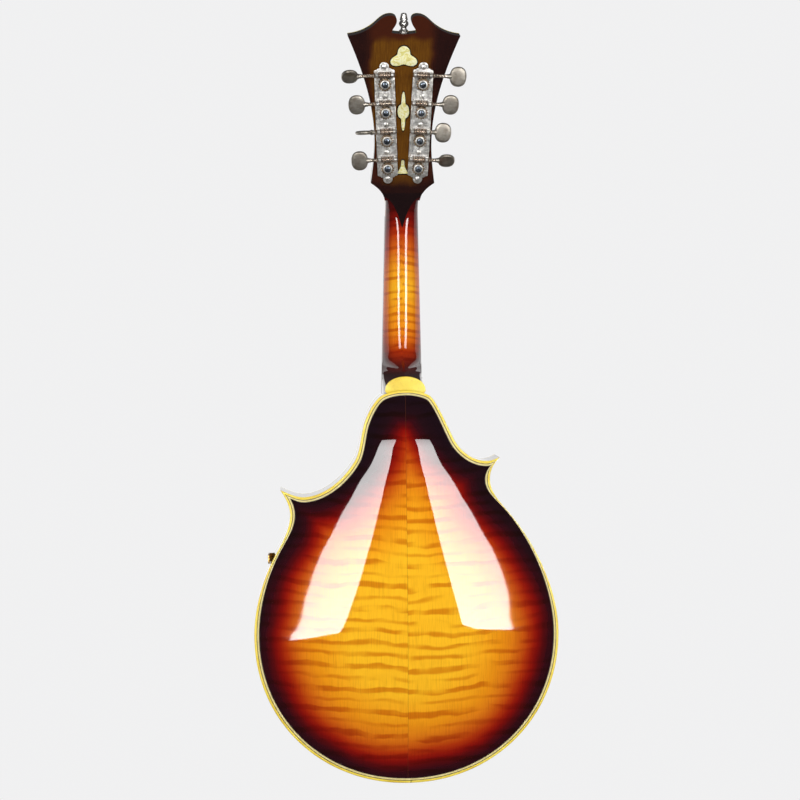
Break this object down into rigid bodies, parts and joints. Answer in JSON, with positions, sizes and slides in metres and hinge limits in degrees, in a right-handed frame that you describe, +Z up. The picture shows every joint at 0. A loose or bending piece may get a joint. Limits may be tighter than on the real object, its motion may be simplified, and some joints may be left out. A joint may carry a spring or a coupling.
{
  "type": "mandolin",
  "caption": "Two-point carved mandolin with flamed sunburst back, bound edges, slotted-worm strip tuners, adjustable floating bridge and sliding tailpiece cover.",
  "frame": {"origin": "centre line at the joint of nut and headstock, in the glue plane of the fingerboard", "axes": "+Z up along the instrument towards the headstock, +X towards the bass side, +Y out of the string side, so the back faces -Y"},
  "size_m": [0.25, 0.1018, 0.6315],
  "materials": {
    "maple_back": "sunburst gloss lacquer on book-matched flamed maple",
    "maple_ribs": "dark gloss lacquer",
    "maple_neck": "sunburst gloss lacquer",
    "spruce_top": "sunburst gloss lacquer on spruce",
    "inner_wood": "bare, inside the body",
    "binding": "aged ivory binding",
    "purfling": "black and cream lines",
    "ebony": "oiled, nearly black",
    "fret_wire": "nickel silver",
    "pearl": "pearl shell",
    "bone": "polished bone",
    "black_veneer": "black-stained veneer under gloss lacquer",
    "nickel": "worn nickel plate",
    "brass": "aged",
    "wound_string": "bronze winding",
    "plain_string": "plain steel",
    "guard": "dark polished plate"
  },
  "bodies": {
    "instrument": {"back_plate_bass": "maple_back", "back_plate_treble": "maple_back", "top_plate_bass": "spruce_top", "top_plate_treble": "spruce_top", "upper_bass_rib": "maple_ribs", "lower_bass_rib": "maple_ribs", "upper_treble_rib": "maple_ribs", "lower_treble_rib": "maple_ribs", "body_blocks": "inner_wood", "linings": "inner_wood", "tone_bars": "inner_wood", "back_binding": "binding", "top_binding": "binding", "back_purfling": "purfling", "top_purfling": "purfling", "neck": "maple_neck", "heel_cap": "binding", "fingerboard": "ebony", "frets": "fret_wire", "position_inlays": "pearl", "nut": "bone", "head_face_veneer": "black_veneer", "head_back_veneer": "black_veneer", "head_binding": "binding", "head_back_inlays": "pearl", "finial": "nickel", "tuner_plate_bass": "nickel", "tuner_plate_treble": "nickel", "tuner_bushings": "nickel", "tuner_plate_screws": "nickel", "strings_g": "wound_string", "strings_d": "wound_string", "strings_a": "plain_string", "strings_e": "plain_string", "bridge_base": "ebony", "bridge_posts": "brass", "tailpiece_base": "nickel", "tailpiece_screws": "nickel", "pickguard": "guard", "pickguard_bracket": "brass"},
    "key_1": {"tuner_key_1": "nickel"},
    "post_1": {"string_post_1": "brass"},
    "key_2": {"tuner_key_2": "nickel"},
    "post_2": {"string_post_2": "brass"},
    "key_3": {"tuner_key_3": "nickel"},
    "post_3": {"string_post_3": "brass"},
    "key_4": {"tuner_key_4": "nickel"},
    "post_4": {"string_post_4": "brass"},
    "key_5": {"tuner_key_5": "nickel"},
    "post_5": {"string_post_5": "brass"},
    "key_6": {"tuner_key_6": "nickel"},
    "post_6": {"string_post_6": "brass"},
    "key_7": {"tuner_key_7": "nickel"},
    "post_7": {"string_post_7": "brass"},
    "key_8": {"tuner_key_8": "nickel"},
    "post_8": {"string_post_8": "brass"},
    "saddle": {"bridge_saddle": "ebony"},
    "wheel_bass": {"thumbwheel_bass": "brass"},
    "wheel_treble": {"thumbwheel_treble": "brass"},
    "cover": {"tailpiece_cover": "nickel"}
  },
  "joints": [
    {"name": "key_turn_1", "type": "hinge", "parent": "instrument", "child": "key_1", "pos_m": [0.01574, -0.05478, 0.10514], "axis": [0.9992, 0.0128, -0.039], "continuous": true},
    {"name": "post_turn_1", "type": "hinge", "parent": "instrument", "child": "post_1", "pos_m": [0.01543, -0.05244, 0.09802], "axis": [0, 0.95, 0.3123], "continuous": true},
    {"name": "key_turn_2", "type": "hinge", "parent": "instrument", "child": "key_2", "pos_m": [0.01479, -0.04756, 0.08317], "axis": [0.9992, 0.0128, -0.039], "continuous": true},
    {"name": "post_turn_2", "type": "hinge", "parent": "instrument", "child": "post_2", "pos_m": [0.01448, -0.04521, 0.07605], "axis": [0, 0.95, 0.3123], "continuous": true},
    {"name": "key_turn_3", "type": "hinge", "parent": "instrument", "child": "key_3", "pos_m": [0.01384, -0.04033, 0.06119], "axis": [0.9992, 0.0128, -0.039], "continuous": true},
    {"name": "post_turn_3", "type": "hinge", "parent": "instrument", "child": "post_3", "pos_m": [0.01354, -0.03799, 0.05408], "axis": [0, 0.95, 0.3123], "continuous": true},
    {"name": "key_turn_4", "type": "hinge", "parent": "instrument", "child": "key_4", "pos_m": [0.01289, -0.03311, 0.03922], "axis": [0.9992, 0.0128, -0.039], "continuous": true},
    {"name": "post_turn_4", "type": "hinge", "parent": "instrument", "child": "post_4", "pos_m": [0.01259, -0.03077, 0.0321], "axis": [0, 0.95, 0.3123], "continuous": true},
    {"name": "key_turn_5", "type": "hinge", "parent": "instrument", "child": "key_5", "pos_m": [-0.01574, -0.05478, 0.10514], "axis": [-0.9992, 0.0128, -0.039], "continuous": true},
    {"name": "post_turn_5", "type": "hinge", "parent": "instrument", "child": "post_5", "pos_m": [-0.01543, -0.05244, 0.09802], "axis": [0, 0.95, 0.3123], "continuous": true},
    {"name": "key_turn_6", "type": "hinge", "parent": "instrument", "child": "key_6", "pos_m": [-0.01479, -0.04756, 0.08317], "axis": [-0.9992, 0.0128, -0.039], "continuous": true},
    {"name": "post_turn_6", "type": "hinge", "parent": "instrument", "child": "post_6", "pos_m": [-0.01448, -0.04521, 0.07605], "axis": [0, 0.95, 0.3123], "continuous": true},
    {"name": "key_turn_7", "type": "hinge", "parent": "instrument", "child": "key_7", "pos_m": [-0.01384, -0.04033, 0.06119], "axis": [-0.9992, 0.0128, -0.039], "continuous": true},
    {"name": "post_turn_7", "type": "hinge", "parent": "instrument", "child": "post_7", "pos_m": [-0.01354, -0.03799, 0.05408], "axis": [0, 0.95, 0.3123], "continuous": true},
    {"name": "key_turn_8", "type": "hinge", "parent": "instrument", "child": "key_8", "pos_m": [-0.01289, -0.03311, 0.03922], "axis": [-0.9992, 0.0128, -0.039], "continuous": true},
    {"name": "post_turn_8", "type": "hinge", "parent": "instrument", "child": "post_8", "pos_m": [-0.01259, -0.03077, 0.0321], "axis": [0, 0.95, 0.3123], "continuous": true},
    {"name": "saddle_height", "type": "slide", "parent": "instrument", "child": "saddle", "axis": [0, 1, 0], "range_m": [-0.0015, 0]},
    {"name": "wheel_turn_bass", "type": "hinge", "parent": "saddle", "child": "wheel_bass", "pos_m": [0.025, 0.0245, -0.356], "axis": [0, 1, 0], "range_deg": [-775, 0]},
    {"name": "wheel_turn_treble", "type": "hinge", "parent": "saddle", "child": "wheel_treble", "pos_m": [-0.025, 0.0245, -0.356], "axis": [0, 1, 0], "range_deg": [-775, 0]},
    {"name": "cover_slide", "type": "slide", "parent": "instrument", "child": "cover", "axis": [0, 0, -1], "range_m": [0, 0.07]}
  ],
  "couplings": [
    {"joint": "post_turn_1", "follows": "key_turn_1", "ratio": -0.066667},
    {"joint": "post_turn_2", "follows": "key_turn_2", "ratio": -0.066667},
    {"joint": "post_turn_3", "follows": "key_turn_3", "ratio": -0.066667},
    {"joint": "post_turn_4", "follows": "key_turn_4", "ratio": -0.066667},
    {"joint": "post_turn_5", "follows": "key_turn_5", "ratio": -0.066667},
    {"joint": "post_turn_6", "follows": "key_turn_6", "ratio": -0.066667},
    {"joint": "post_turn_7", "follows": "key_turn_7", "ratio": -0.066667},
    {"joint": "post_turn_8", "follows": "key_turn_8", "ratio": -0.066667},
    {"joint": "wheel_turn_bass", "follows": "saddle_height", "rad_per_m": 8976},
    {"joint": "wheel_turn_treble", "follows": "saddle_height", "rad_per_m": 8976}
  ]
}
